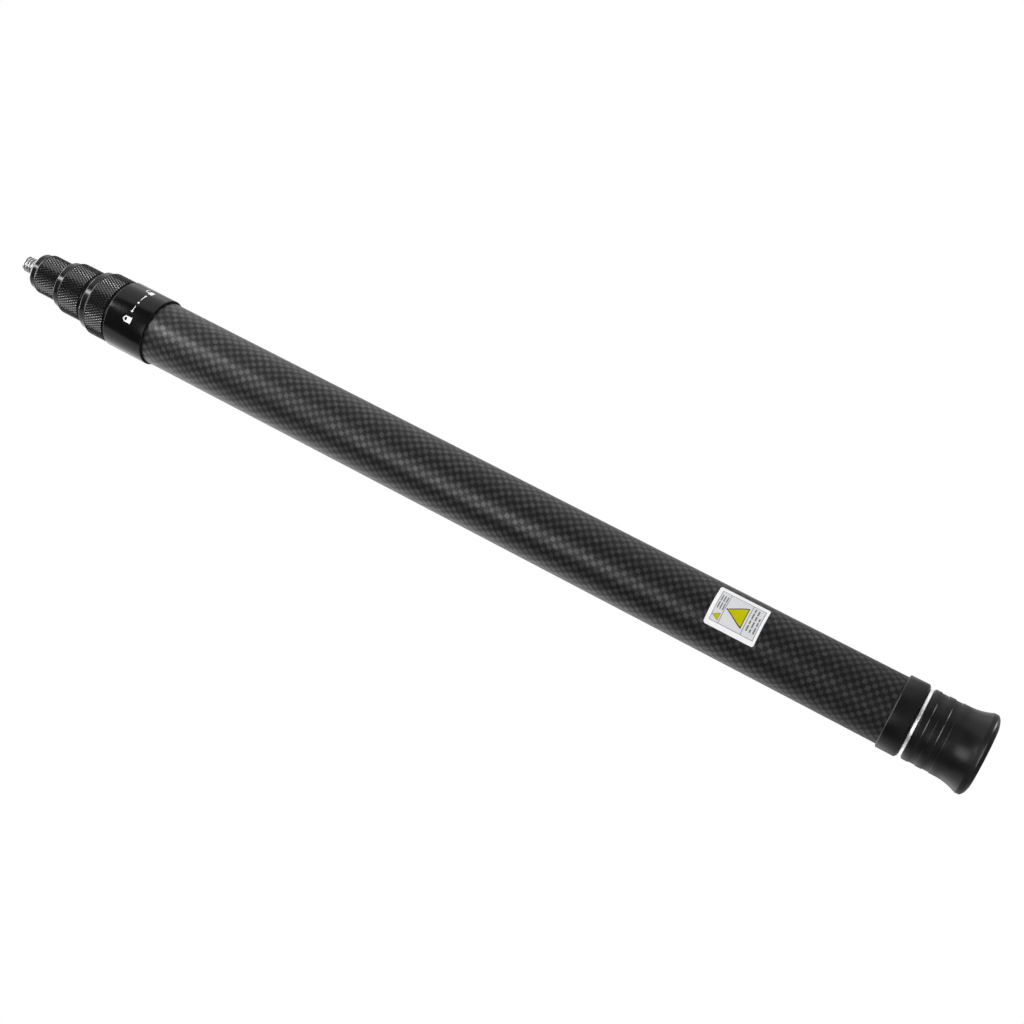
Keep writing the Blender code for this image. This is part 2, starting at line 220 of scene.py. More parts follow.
def lathe(name, outline, finish, sides=ROUND_SIDES, solid=False):
    """A turned piece. A solid outline starts and ends on the axis, and any other closes on itself."""
    points = []
    faces = []
    rings = []
    for radius, height in outline:
        if radius == 0:
            points.append((0, 0, height))
            rings.append([len(points) - 1] * sides)
            continue
        first = len(points)
        points += [on_pole(FULL_TURN * side / sides, radius, height) for side in range(sides)]
        rings.append(list(range(first, first + sides)))
    pairs = list(zip(rings, rings[1:]))
    if not solid:
        pairs.append((rings[-1], rings[0]))
    for upper, lower in pairs:
        for side in range(sides):
            after = (side + 1) % sides
            corners = (upper[side], lower[side], lower[after], upper[after])
            faces.append(tuple(dict.fromkeys(corners)))
    return make_object(name, points, faces, finish)


# Materials


class Shader:
    """A node material with short calls for the nodes used here."""

    def __init__(self, name, colour, roughness, metallic=0.0, specular=0.5):
        self.material = bpy.data.materials.new(name)
        self.material.use_nodes = True
        self.nodes = self.material.node_tree.nodes
        self.links = self.material.node_tree.links
        self.surface = self.nodes["Principled BSDF"]
        self.surface.inputs["Base Color"].default_value = (*colour, 1.0)
        self.surface.inputs["Roughness"].default_value = roughness
        self.surface.inputs["Metallic"].default_value = metallic
        self.surface.inputs["Specular IOR Level"].default_value = specular

    def feed(self, socket, value):
        """Links a socket's value, or sets a plain one."""
        if isinstance(value, bpy.types.NodeSocket):
            self.links.new(value, socket)
        else:
            socket.default_value = value

    def math(self, operation, first, second=0.0, third=0.0):
        """The result of one operation on sockets or plain numbers."""
        node = self.nodes.new("ShaderNodeMath")
        node.operation = operation
        for socket, value in zip(node.inputs, (first, second, third)):
            self.feed(socket, value)
        return node.outputs[0]

    def object_axes(self):
        """X, Y and Z in the object's own metres."""
        coordinates = self.nodes.new("ShaderNodeTexCoord")
        axes = self.nodes.new("ShaderNodeSeparateXYZ")
        self.links.new(coordinates.outputs["Object"], axes.inputs[0])
        return axes.outputs

    def vector(self, x, y, z):
        """Three sockets or plain numbers as a vector."""
        node = self.nodes.new("ShaderNodeCombineXYZ")
        for socket, value in zip(node.inputs, (x, y, z)):
            self.feed(socket, value)
        return node.outputs[0]

    def noise(self, vector, scale, detail=2.0):
        """Smooth noise from 0 to 1. The scale is in waves to each unit of the vector."""
        node = self.nodes.new("ShaderNodeTexNoise")
        self.feed(node.inputs["Vector"], vector)
        node.inputs["Scale"].default_value = scale
        node.inputs["Detail"].default_value = detail
        return node.outputs["Fac"]

    def own_value(self, column, row):
        """A number from 0 to 1 of each cell's own, for cells one unit wide."""
        node = self.nodes.new("ShaderNodeTexWhiteNoise")
        node.noise_dimensions = "2D"
        cell = self.vector(self.math("FLOOR", column), self.math("FLOOR", row), 0.0)
        self.links.new(cell, node.inputs["Vector"])
        return node.outputs["Value"]

    def between(self, factor, low, high):
        """low where factor is 0, high where it is 1."""
        node = self.nodes.new("ShaderNodeMapRange")
        self.feed(node.inputs["Value"], factor)
        node.inputs["To Min"].default_value = low
        node.inputs["To Max"].default_value = high
        return node.outputs["Result"]

    def colours(self, factor, low, high):
        """low where factor is 0, high where it is 1, for colours."""
        node = self.nodes.new("ShaderNodeMix")
        node.data_type = "RGBA"
        self.feed(node.inputs["Factor"], factor)
        node.inputs["A"].default_value = (*low, 1.0)
        node.inputs["B"].default_value = (*high, 1.0)
        return node.outputs["Result"]

    def choose(self, factor, first, second):
        """first where factor is 0, second where it is 1, for numbers."""
        node = self.nodes.new("ShaderNodeMix")
        self.feed(node.inputs["Factor"], factor)
        self.feed(node.inputs["A"], first)
        self.feed(node.inputs["B"], second)
        return node.outputs["Result"]

    def bump(self, height, strength, distance_mm):
        """Relief of a height from 0 to 1, this deep."""
        node = self.nodes.new("ShaderNodeBump")
        node.inputs["Strength"].default_value = strength
        node.inputs["Distance"].default_value = distance_mm * MM
        self.links.new(height, node.inputs["Height"])
        self.links.new(node.outputs[0], self.surface.inputs["Normal"])

    def colour_from(self, socket):
        self.links.new(socket, self.surface.inputs["Base Color"])

    def roughness_from(self, socket):
        self.links.new(socket, self.surface.inputs["Roughness"])


def cloth_position(shader, node):
    """Where a point lies in a tube's cloth, in cells round the tube and up it. The hoop tows climb a little,
    the lengthwise tows drift round, and both waver."""
    around = CELLS_AROUND[node]
    cell = math.tau * span(node)[2] / around
    x, y, z = shader.object_axes()
    turn = shader.math("DIVIDE", shader.math("ARCTAN2", y, x), math.tau)
    height = shader.math("DIVIDE", z, MM)

    stretch = shader.math("MULTIPLY_ADD", height, -CELL_STRETCH, CELLS_PER_MM)
    up = shader.math("MULTIPLY_ADD", turn, CLIMB_CELLS, shader.math("MULTIPLY", height, stretch))

    from_centre = shader.math("DIVIDE", shader.math("SUBTRACT", height, DRIFT_CENTRE), DRIFT_SPREAD)
    lost = shader.math("MULTIPLY", shader.math("POWER", from_centre, 3.0), DRIFT_LOSS * DRIFT_SPREAD / 3)
    drifted = shader.math("SUBTRACT", shader.math("MULTIPLY", height, DRIFT), lost)
    drifted = shader.math("DIVIDE", drifted, cell)
    along = shader.math("SUBTRACT", shader.math("MULTIPLY", turn, around), drifted)

    waver = shader.noise(shader.vector(x, y, z), TOW_WAVER_SCALE)
    sway = shader.noise(shader.vector(y, z, x), TOW_WAVER_SCALE)
    along = shader.math("ADD", along, shader.between(waver, -TOW_WAVER, TOW_WAVER))
    up = shader.math("ADD", up, shader.between(sway, -TOW_WAVER, TOW_WAVER))
    return along, up


def swell(shader, cells):
    """0 at both edges of every cell and 1 in its middle."""
    return shader.math("ABSOLUTE", shader.math("SINE", shader.math("MULTIPLY", cells, math.pi)))


def carbon_cloth(node):
    """Plain-woven carbon under satin resin. The lengthwise tows are painted lighter where they lie on top,
    most on their crowns: a painted sheen for the fibres' directional reflection, with painted shade at the
    cell edges.
    """
    shader = Shader(f"carbon_cloth_{node}", CLOTH_MIDDLE, 0.3)
    around, up = cloth_position(shader, node)
    checker = shader.nodes.new("ShaderNodeTexChecker")
    checker.inputs["Scale"].default_value = 1.0
    shader.feed(checker.inputs["Vector"], shader.vector(around, up, 0.5))
    on_top = checker.outputs["Fac"]
    crown = shader.math("MULTIPLY", swell(shader, around), swell(shader, up))
    crown = shader.math("POWER", crown, TOW_CROWN)

    lengthwise = shader.noise(shader.vector(shader.math("MULTIPLY", around, FIBRES_IN_TOW), up, 0.0), 1.0)
    hoop = shader.noise(shader.vector(around, shader.math("MULTIPLY", up, FIBRES_IN_TOW), 0.0), 1.0)
    fibres = shader.choose(on_top, lengthwise, hoop)
    patches = shader.noise(shader.vector(around, up, 3.0), scale=0.45, detail=3.0)
    own = shader.own_value(around, up)

    # Painted sheen: lighter colour on the crown of each lengthwise tow on top, fading to painted shade at the
    # cell edges
    light = shader.math("MULTIPLY", on_top, crown)
    light = shader.math("MULTIPLY", light, shader.between(patches, 0.45, 1.35))
    light = shader.math("MULTIPLY", light, shader.between(fibres, 0.7, 1.2))
    light = shader.math("MULTIPLY", light, shader.between(own, 1 - CELL_CONTRAST, 1 + CELL_CONTRAST))
    shader.colour_from(shader.colours(light, CLOTH_DARK, CLOTH_PAINTED_SHEEN))
    shader.feed(shader.surface.inputs["Specular IOR Level"], shader.between(light, 0.30, 0.72))
    shader.roughness_from(shader.between(fibres, 0.34, 0.44))
    relief = shader.math("ADD", shader.math("MULTIPLY", crown, 0.5), shader.math("MULTIPLY", fibres, 0.3))
    shader.bump(relief, strength=0.35, distance_mm=0.03)
    return shader.material


def anodised(name, colour, roughness):
    """Black anodised aluminium with fine turning lines and a little handling wear."""
    shader = Shader(name, colour, roughness, specular=0.28)
    x, y, z = shader.object_axes()
    squares = shader.math("ADD", shader.math("MULTIPLY", x, x), shader.math("MULTIPLY", y, y))
    rings = shader.noise(shader.vector(0.0, shader.math("SQRT", squares), z), scale=9000.0, detail=3.0)
    wear = shader.noise(shader.vector(x, y, z), scale=160.0, detail=4.0)
    shader.roughness_from(shader.between(wear, roughness - 0.06, roughness + 0.08))
    darker, lighter = tuple(0.75 * c for c in colour), tuple(1.35 * c for c in colour)
    shader.colour_from(shader.colours(wear, darker, lighter))
    shader.bump(rings, strength=0.06, distance_mm=0.01)
    return shader.material


def bare_metal(name, colour, roughness, line_strength=0.1):
    """Turned bright metal, with rings from the tool and a soft variation of polish."""
    shader = Shader(name, colour, roughness, metallic=1.0)
    x, y, z = shader.object_axes()
    rings = shader.noise(shader.vector(0.0, 0.0, z), scale=12000.0, detail=3.0)
    polish = shader.noise(shader.vector(x, y, z), scale=400.0, detail=3.0)
    shader.roughness_from(shader.between(polish, roughness * 0.7, roughness * 1.5))
    shader.bump(rings, line_strength, distance_mm=0.01)
    return shader.material


def nylon():
    """Natural nylon with a fine grain."""
    shader = Shader("natural_nylon", (0.68, 0.66, 0.59), 0.5)
    x, y, z = shader.object_axes()
    grain = shader.noise(shader.vector(x, y, z), scale=1500.0, detail=4.0)
    shader.colour_from(shader.colours(grain, (0.62, 0.60, 0.53), (0.74, 0.72, 0.66)))
    shader.bump(grain, strength=0.2, distance_mm=0.02)
    return shader.material


def rubber():
    """Dull black rubber with a fine grain."""
    shader = Shader("black_rubber", (0.018, 0.018, 0.018), 0.75)
    x, y, z = shader.object_axes()
    grain = shader.noise(shader.vector(x, y, z), scale=2500.0, detail=5.0)
    shader.colour_from(shader.colours(grain, (0.012, 0.012, 0.012), (0.028, 0.028, 0.027)))
    shader.roughness_from(shader.between(grain, 0.65, 0.85))
    shader.bump(grain, strength=0.4, distance_mm=0.03)
    return shader.material


def printed_film(name, colour, roughness=0.32, spread=0.05):
    """Vinyl film or ink, its colour uneven by the spread."""
    shader = Shader(name, colour, roughness, specular=0.12)
    x, y, z = shader.object_axes()
    mottle = shader.noise(shader.vector(x, y, z), scale=700.0, detail=3.0)
    darker = tuple(c * (1 - spread) for c in colour)
    lighter = tuple(min(1.0, c * (1 + spread)) for c in colour)
    shader.colour_from(shader.colours(mottle, darker, lighter))
    shader.bump(mottle, strength=0.05, distance_mm=0.01)
    return shader.material


# Tubes


def make_tube(node, body, wall):
    """A plain tube with its ends broken a little."""
    bottom, top, radius = span(node)
    edge = 0.12
    corners = [
        (radius, top, edge),
        (radius, bottom, edge),
        (radius - wall, bottom, edge),
        (radius - wall, top, edge),
    ]
    place(lathe(f"fine_{node}", rounded(corners), carbon_cloth(node)), body, "carbon_fibre", node)


# Ferrules, ring and cap


def make_ferrule(node, closed_at_top, closed_bevel, open_bevel, lip_bore, finish):
    """Sleeve over an end of the main tube, with a lip past it. A bevel is its depth and its length."""
    bottom, top, radius = span(node)
    bore = span("main_tube")[2] + 0.22
    lip = 1.2
    if closed_at_top:
        closed, opened, way = top, bottom, -1
    else:
        closed, opened, way = bottom, top, 1
    corners = [
        (radius - closed_bevel[0], closed, 0.1),
        (radius, closed + way * closed_bevel[1], 0.25),
        (radius, opened - way * open_bevel[1], 0.12),
        (radius - open_bevel[0], opened, 0.06),
        (bore, opened, 0.05),
        (bore, closed + way * lip, 0),
        (lip_bore, closed + way * lip, 0),
        (lip_bore, closed, 0.15),
    ]
    if not closed_at_top:
        corners.reverse()
    place(lathe(f"fine_{node}", rounded(corners), finish), "main_section", "black_anodised", node)


def make_trim_ring():
    """Slightly tapered, with a shoulder at each end that reaches almost to the piece beside it."""
    bottom, top, radius = span("trim_ring")
    bore = 9.7
    shoulder = 0.27
    corners = [
        (radius - 0.3, top + shoulder, 0.05),
        (radius, bottom, 0.2),
        (radius - 0.1, bottom - shoulder, 0.05),
        (bore, bottom - shoulder, 0.05),
        (bore, top + shoulder, 0.05),
    ]
    finish = bare_metal("bright_ring", (0.98, 0.98, 0.99), 0.4, 0.03)
    place(lathe("fine_trim_ring", rounded(corners), finish), "cap_ring", "polished_aluminium", "trim_ring")


def make_end_cap(finish):
    """Flared cap: two shallow grip grooves, an arc out to the rim, a narrow band and a rounded end."""
    bottom, top, rim = span("end_cap")
    side = 12.98
    bore, bore_floor = 9.7, bottom + 5.7
    pad_seat, seat_floor = 12.1, bottom + 2.0
    groove_depth, groove_length = 0.22, 2.7
    flare_top, flare_length, flare_radius = bottom + 11.0, 7.7, 19.0
    corners = [
        (0, bore_floor, 0),
        (bore, bore_floor, 0.3),
        (bore, top, 0.15),
        (side - 0.35, top, 0.1),
        (side, top - 0.35, 0.15),
    ]
    for high in (top - 2.5, top - 7.4):
        low = high - groove_length
        corners += [
            (side, high, 0.06),
            (side - groove_depth, high - 0.3, 0.08),
            (side - groove_depth, low + 0.14, 0.06),
            (side, low, 0.04),
        ]
    steps = 14
    for step in range(steps + 1):
        drop = flare_length * step / steps
        spread = flare_radius - math.sqrt(flare_radius**2 - drop**2)
        corners.append((side + spread, flare_top - drop, 0))
    corners += [
        (rim, bottom + 3.0, 0.2),
        (rim - 0.08, bottom + 1.55, 0.08),
        (rim - 0.3, bottom + 1.15, 0.08),
        (rim - 1.25, bottom + 0.42, 0.3),
        (rim - 2.3, bottom, 0.1),
        (pad_seat, bottom, 0.1),
        (pad_seat, seat_floor, 0),
        (0, seat_floor, 0),
    ]
    piece = lathe("fine_end_cap", rounded(corners), finish, solid=True)
    return place(piece, "cap", "black_anodised", "end_cap")


def make_foot_pad(finish):
    """Rubber pad with three moulded grooves in its face."""
    bottom, top, radius = span("foot_pad")
    depth = 0.35
    corners = [(0, top, 0), (radius, top, 0.1), (radius, bottom + 0.1, 0.3), (radius - 0.5, bottom, 0.1)]
    for middle in (9.0, 6.2, 3.4):
        corners += [
            (middle + 0.5, bottom, 0.1),
            (middle + 0.25, bottom + depth, 0.1),
            (middle - 0.25, bottom + depth, 0.1),
            (middle - 0.5, bottom, 0.1),
        ]
    corners.append((0, bottom, 0))
    place(lathe("fine_foot_pad", rounded(corners), finish, solid=True), "cap", "black_rubber", "foot_pad")


# Threads


def make_thread(name, crest, depth, pitch, bottom, top, finish, tip_chamfer=0.0):
    """A right-handed threaded rod, flat at both ends. The thread fades into the chamfer at its tip."""
    sides = 72
    rows_per_turn = 14
    rows = math.ceil((top - bottom) / pitch * rows_per_turn)
    points = []
    for row in range(rows + 1):
        height = bottom + (top - bottom) * row / rows
        limit = crest - max(0.0, tip_chamfer - (top - height))
        for side in range(sides):
            phase = (height / pitch - side / sides) % 1.0
            slope = min(1.0, max(0.0, (abs(2 * phase - 1) - THREAD_CREST) / THREAD_FLANK))
            points.append(on_pole(FULL_TURN * side / sides, min(limit, crest - depth * slope), height))
    faces = []
    for row in range(rows):
        for side in range(sides):
            here = row * sides + side
            beside = row * sides + (side + 1) % sides
            faces.append((here, beside, beside + sides, here + sides))
    points += [(0, 0, bottom), (0, 0, top)]
    low_centre, high_centre = len(points) - 2, len(points) - 1
    last = rows * sides
    for side in range(sides):
        after = (side + 1) % sides
        faces.append((low_centre, after, side))
        faces.append((high_centre, last + side, last + after))
    return make_object(name, points, faces, finish, smooth_angle=50)


def make_stud(finish):
    """The stud in the front of the last section, with a chamfered tip."""
    bottom, top, radius = span("mounting_stud")
    chamfer = 0.75
    rod = make_thread("threaded_stud", radius, STUD_THREAD_DEPTH, STUD_PITCH, bottom, top, finish, chamfer)
    place(rod, "section_4", "stainless_steel", "mounting_stud")


def make_butt_plug(finish):
    """Body bonded in the tube, with a plain neck and an O-ring groove over a threaded stub."""
    bottom, top, body = span("butt_plug")
    ring_bottom, ring_top, ring_outside = span("cap_o_ring")
    groove_floor = ring_outside - 1.25
    groove_low, groove_high = ring_bottom - 0.3, ring_top + 0.3
    neck = 9.0
    shoulder = span("trim_ring")[1] + 0.7
    neck_end = ring_bottom - 1.2
    corners = [
        (0, top, 0),
        (body, top, 0.3),
        (body, shoulder, 0.2),
        (neck, shoulder, 0),
        (neck, groove_high, 0.08),
        (groove_floor, groove_high, 0.1),
        (groove_floor, groove_low, 0.1),
        (neck, groove_low, 0.08),
        (neck, neck_end, 0.1),
        (neck - 1.0, neck_end - 0.2, 0),
        (0, neck_end - 0.2, 0),
    ]
    plug = lathe("fine_butt_plug", rounded(corners), finish, solid=True)
    place(plug, "main_section", "plain_aluminium", "butt_plug")
    stub = make_thread("cap_thread", neck, CAP_THREAD_DEPTH, CAP_PITCH, bottom, neck_end - 0.3, finish)
    place(stub, "main_section", "plain_aluminium")


# Grip collars


def knurl_band(bottom, top, radius):
    """A diamond knurl: a low pyramid with a flat crest in every diamond. Gives its points, its faces, and its
    bottom and top rims."""
    count = round(math.tau * radius / KNURL_PITCH)
    rows = round((top - bottom) / KNURL_ROW)
    row_height = (top - bottom) / rows
    points = []
    index_of = {}
    faces = []

    def corner(column, row, depth):
        """A shared point of the lattice, whose columns and rows are half a diamond apart."""
        key = (round(column % (2 * count), 4), round(row, 4))
        if key not in index_of:
            index_of[key] = len(points)
            bearing = FULL_TURN * key[0] / (2 * count)
            points.append(on_pole(bearing, radius - depth, bottom + row * row_height))
        return index_of[key]

    inset = KNURL_CREST  # of a crest's corners from its middle, in half diamonds
    for row in range(rows + 1):
        for column in range(row % 2, 2 * count, 2):
            middle = column + 1
            west, east = corner(column, row, KNURL_DEPTH), corner(column + 2, row, KNURL_DEPTH)
            west_in, east_in = corner(middle - inset, row, 0), corner(middle + inset, row, 0)
            if row < rows:
                north, north_in = corner(middle, row + 1, KNURL_DEPTH), corner(middle, row + inset, 0)
                faces += [(east, north, north_in, east_in), (north, west, west_in, north_in)]
            if row > 0:
                south, south_in = corner(middle, row - 1, KNURL_DEPTH), corner(middle, row - inset, 0)
                faces += [(west, south, south_in, west_in), (south, east, east_in, south_in)]
            if 0 < row < rows:
                faces.append((west_in, south_in, east_in, north_in))
            elif row == 0:
                faces.append((west_in, east_in, north_in))
            else:
                faces.append((west_in, south_in, east_in))

    def rim(row):
        """(index, bearing) of each point round an end: a groove and a crest's two corners in turn."""
        ring = []
        for start in range(row % 2, 2 * count, 2):
            for column, depth in ((start, KNURL_DEPTH), (start + 1 - inset, 0), (start + 1 + inset, 0)):
                ring.append((corner(column, row, depth), FULL_TURN * column / (2 * count)))
        return ring

    return points, faces, rim(0), rim(rows)


def make_collar(section, finish):
    """Grip collar: a smooth neck, the knurl, a long bevel down to the lip, and a bored front face."""
    node = f"collar_{section}"
    front_bore, neck, knurl_low, knurl_high, lip_length, lip = COLLARS[section]
    base, front, radius = span(node)
    knurl_bottom, knurl_top = base + knurl_low, front - knurl_high
    bore = span(f"tube_{section}")[2] + 0.2
    lip_back = front - lip_length
    rear = [
        (radius - KNURL_DEPTH - 0.05, knurl_bottom - 0.1, 0),
        (neck, knurl_bottom - 0.35, 0.5),
        (neck, base, 0.15),
        (bore, base, 0.1),
        (bore, base + 3.0, 0),
    ]
    ahead = [
        (radius - 0.08, knurl_top + 0.25, 0.1),
        (lip + 0.12, lip_back, 0.06),
        (lip, lip_back + 0.12, 0.05),
        (lip - 0.08, front - 0.5, 0.08),
        (lip - 0.42, front, 0.08),
        (front_bore + 0.25, front, 0.1),
        (front_bore, front - 0.25, 0.1),
        (front_bore, front - 4.0, 0),
        (bore, front - 4.0, 0),
    ]
    points, faces, low_rim, high_rim = knurl_band(knurl_bottom, knurl_top, radius)

    def join(lower, upper):
        """Faces between two rings of as many points."""
        for side in range(len(lower)):
            after = (side + 1) % len(lower)
            faces.append((lower[side], lower[after], upper[after], upper[side]))

    def turned(rim, outline, upwards):
        """Turned surface from a rim of the knurl along an outline. Gives the indices of its last ring."""
        last = [index for index, _ in rim]
        for ring_radius, height in rounded(outline):
            ring = list(range(len(points), len(points) + len(rim)))
            points.extend([on_pole(bearing, ring_radius, height) for _, bearing in rim])
            if upwards:
                join(last, ring)
            else:
                join(ring, last)
            last = ring
        return last

    bore_low = turned(low_rim, rear, False)
    bore_high = turned(high_rim, ahead, True)
    # An odd number of knurl rows starts the top rim half a diamond on, by the bottom rim's third point
    shift = 2 if high_rim[0][1] > low_rim[0][1] else 0
    join(bore_high, bore_low[shift:] + bore_low[:shift])
    piece = make_object(f"fine_{node}", points, faces, finish, smooth_angle=22)
    place(piece, f"section_{section}", "black_anodised", node)


# Flat marks that follow a round surface


class Patchwork:
    """Thin printed shapes on a cylinder. Seen from the front, across is millimetres to +X and up to +Z."""

    def __init__(self, radius, bearing, height, skew=0.0):
        self.radius = radius
        self.bearing = bearing
        self.height = height
        self.skew = skew
        self.points = []
        self.faces = []

    def point(self, across, up):
        """Adds a point and gives its index."""
        bearing = self.bearing + math.degrees(across / self.radius)
        self.points.append(on_pole(bearing, self.radius, self.height + up + self.skew * across))
        return len(self.points) - 1

    def rectangle(self, left, right, low, high, step=0.4):
        """A rectangle, cut fine enough to follow the surface."""
        self.sheet(lambda share: (left, right), low, high, max(1, math.ceil((right - left) / step)))

    def sheet(self, edges, low, high, columns, rows=1):
        """A shape between two edges, which edges(share of its height) gives as (left, right)."""
        lines = []
        for row in range(rows + 1):
            share = row / rows
            left, right = edges(share)
            up = low + (high - low) * share
            step = (right - left) / columns
            lines.append([self.point(left + step * column, up) for column in range(columns + 1)])
        for lower, upper in zip(lines, lines[1:]):
            for column in range(columns):
                self.faces.append((lower[column], lower[column + 1], upper[column + 1], upper[column]))

    def arc(self, across, up, inside, outside, start, end, steps=24):
        """Part of a ring, or a disc when inside is 0, from start to end degrees."""
        inner, outer = [], []
        for step in range(steps + 1):
            turn = math.radians(start + (end - start) * step / steps)
            outer.append(self.point(across + outside * math.cos(turn), up + outside * math.sin(turn)))
            inner.append(self.point(across + inside * math.cos(turn), up + inside * math.sin(turn)))
        for step in range(steps):
            self.faces.append((inner[step], outer[step], outer[step + 1], inner[step + 1]))

    def finish(self, name, material):
        """Makes the shapes one printed piece on the main section."""
        place(make_object(name, self.points, self.faces, material), "main_section", "label_film")


def padlock(marks, across, up, opened):
    """A plain padlock with its shackle towards the stud. An open one is lifted on one leg, to the side."""
    half_body, body_height = 1.2, 1.95
    inside, outside = 0.7, 1.15
    if opened:
        middle, lift, legs = across + 0.75, 0.85, (-1,)
    else:
        middle, lift, legs = across, 0.5, (-1, 1)
    body_top = up + body_height
    marks.rectangle(across - half_body, across + half_body, up, body_top)
    marks.arc(middle, body_top + lift, inside, outside, 0, 180)
    for side in legs:
        low, high = sorted((middle + side * inside, middle + side * outside))
        marks.rectangle(low, high, body_top, body_top + lift)


def make_lock_marks(ink):
    """Closed padlock, three dots joined by fine lines, and an open padlock round the front ferrule."""
    _, top, radius = span("index_ferrule")
    marks = Patchwork(radius + MARK_LIFT, 0.0, top - MARKS_BELOW_TOP)
    dot, half_line = 0.43, 0.14

    def across(bearing):
        return math.radians(bearing) * marks.radius

    padlock(marks, across(CLOSED_PADLOCK), -1.6, opened=False)
    padlock(marks, across(OPEN_PADLOCK), -1.2, opened=True)
    for bearing in LOCK_DOTS:
        marks.arc(across(bearing), 0, 0, dot, 0, 360)
    for start, end in LOCK_LINES:
        marks.rectangle(across(start), across(end), -half_line, half_line)
    marks.finish("lock_marks", ink)


def label_halves():
    """Half the label's width round the tube, and half its height."""
    bottom, top, _ = span("label")
    sweep = math.radians(LABEL_BEARINGS[1] - LABEL_BEARINGS[0])
    return sweep / 2 * span("main_tube")[2], (top - bottom) / 2


def label_layer(layer):
    """An empty patchwork on the label's film, or on so many printed layers over it."""
    bottom, top, _ = span("label")
    radius = span("main_tube")[2] + LABEL_LIFT + LABEL_FILM + INK_LAYER * layer
    return Patchwork(radius, sum(LABEL_BEARINGS) / 2, (top + bottom) / 2 + LABEL_RAISE, LABEL_SKEW)


def make_label():
    """White film with a grey panel, a fine frame and dividers, two plain triangles, and bars for writing."""
    half_width, half_height = label_halves()
    place(label_film(half_width, half_height), "main_section", "label_film", "label")
    left, right = 1.9 - half_width, half_width - 1.9
    low, high = 1.0 - half_height, half_height - 1.4
    lower_divider, upper_divider = 5.6 - half_height, half_height - 4.9

    panel = label_layer(1)
    panel.rectangle(left, right, low, high)
    panel.finish("label_panel", printed_film("label_pale_panel", (0.69, 0.69, 0.705), 0.25))

    lines = label_layer(2)
    for edge in (low, lower_divider, upper_divider, high - LABEL_LINE):
        lines.rectangle(left, right, edge, edge + LABEL_LINE)
    for edge in (left, right - LABEL_LINE):
        lines.rectangle(edge, edge + LABEL_LINE, low, high)
    for row in range(3):
        text_row(lines, (2.6, 2.6), -1.3, high - 1.1 - 0.95 * row, height=0.45, gap=0.4)
    for row, words in enumerate(((2.2, 1.4, 2.6, 1.6), (1.2, 2.4, 1.8, 2.2), (2.4, 1.6, 1.2))):
        text_row(lines, words, -4.0, lower_divider - 1.35 - 1.3 * row, height=0.55, gap=0.45)
    lines.finish("label_lines_and_bars", printed_film("label_grey_ink", (0.17, 0.17, 0.18)))

    dark = printed_film("label_dark_ink", (0.05, 0.05, 0.045))
    yellow = printed_film("label_yellow_ink", (0.52, 0.485, 0.0))
    for name, across, base, width, height in (
        ("large", -0.15, lower_divider + 0.85, 8.8, 7.4),
        ("small", -3.9, upper_divider + 0.65, 2.9, 2.8),
    ):
        border = label_layer(3)
        triangle(border, across, base, width, height)
        border.finish(f"label_{name}_triangle_edge", dark)
        rim = TRIANGLE_RIM * width
        inner = label_layer(4)
        triangle(inner, across, base + 0.55 * rim, width - 2.4 * rim, height - 1.9 * rim)
        inner.finish(f"label_{name}_triangle", yellow)


def text_row(lines, words, left, low, height, gap):
    """A row of plain bars, one for each word length."""
    for word in words:
        lines.rectangle(left, left + word, low, low + height)
        left += word + gap


def triangle(patch, across, low, width, height):
    """A triangle that points up, with a blunt tip and its two feet drawn in a little."""
    rounding = TRIANGLE_RIM * width
    clipped = 0.965  # of its full height

    def edges(share):
        blunt = 0.5 if share == 1 else 0.45
        reach = max(width / 2 * (1 - share), rounding * blunt)
        reach -= 0.6 * rounding * math.exp(-share * height / rounding)
        return across - reach, across + reach

    patch.sheet(edges, low, low + height * clipped, columns=12, rows=24)


def label_film(half_width, half_height):
    """The film, cut into columns that are closer together towards its rounded corners."""
    columns = 48
    face = label_layer(0)
    points, faces, columns_at = [], [], []
    for column in range(columns + 1):
        across = -half_width * math.cos(math.pi * column / columns)
        into_corner = max(0.0, abs(across) - (half_width - LABEL_CORNER))
        half = half_height - LABEL_CORNER + math.sqrt(max(0.0, LABEL_CORNER**2 - into_corner**2))
        bearing = face.bearing + math.degrees(across / face.radius)
        middle = face.height + LABEL_SKEW * across
        first = len(points)
        for radius in (face.radius, face.radius - LABEL_FILM):
            points += [on_pole(bearing, radius, middle - half), on_pole(bearing, radius, middle + half)]
        columns_at.append((first, first + 1, first + 3, first + 2))
    for near, far in zip(columns_at, columns_at[1:]):
        for corner in range(4):
            after = (corner + 1) % 4
            faces.append((near[corner], far[corner], far[after], near[after]))
    faces += [columns_at[0], columns_at[-1][::-1]]
    vinyl = printed_film("label_white_film", (0.9, 0.9, 0.9), 0.22, 0.02)
    return make_object("label_film_sheet", points, faces, vinyl)


# Stage, lights and camera


def hide_from_camera(tree, rest, seen, output):
    """The camera's own rays meet the shader that is seen, and all other rays the rest."""
    rays = tree.nodes.new("ShaderNodeLightPath")
    mix = tree.nodes.new("ShaderNodeMixShader")
    tree.links.new(rays.outputs["Is Camera Ray"], mix.inputs["Fac"])
    tree.links.new(rest.outputs[0], mix.inputs[1])
    tree.links.new(seen.outputs[0], mix.inputs[2])
    tree.links.new(mix.outputs[0], output.inputs["Surface"])


